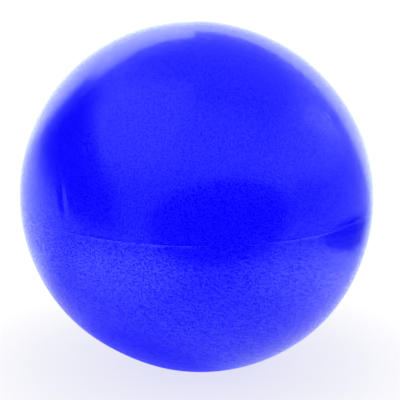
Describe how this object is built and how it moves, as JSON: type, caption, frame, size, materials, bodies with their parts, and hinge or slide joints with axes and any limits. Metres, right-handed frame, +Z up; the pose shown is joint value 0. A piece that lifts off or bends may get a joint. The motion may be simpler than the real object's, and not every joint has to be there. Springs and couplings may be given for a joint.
{
  "type": "pilates ball",
  "caption": "Small soft inflatable Pilates ball with a fine-grained satin skin, a moulding line round its middle and a push-in valve stopper at the back that pulls out.",
  "frame": {"origin": "on the floor under the middle of the ball, at the middle of the bounding box's underside", "axes": "+Z up and square to the plane of the moulding line, -Y towards the pictured front, +Y towards the back where the valve is, +X to the right of the front view"},
  "size_m": [0.2518, 0.2506, 0.2474],
  "materials": {
    "skin_pvc": "satin, finely grained soft PVC",
    "seat_pvc": "smooth satin soft PVC",
    "stopper_plastic": "smooth white polyethylene"
  },
  "bodies": {
    "ball": {"ball_skin": "skin_pvc", "valve_seat": "seat_pvc"},
    "stopper_body": {"stopper": "stopper_plastic"}
  },
  "joints": [
    {"name": "stopper_pull", "type": "slide", "parent": "ball", "child": "stopper_body", "axis": [0.0062, 0.7054, 0.7088], "range_m": [0, 0.024]}
  ]
}
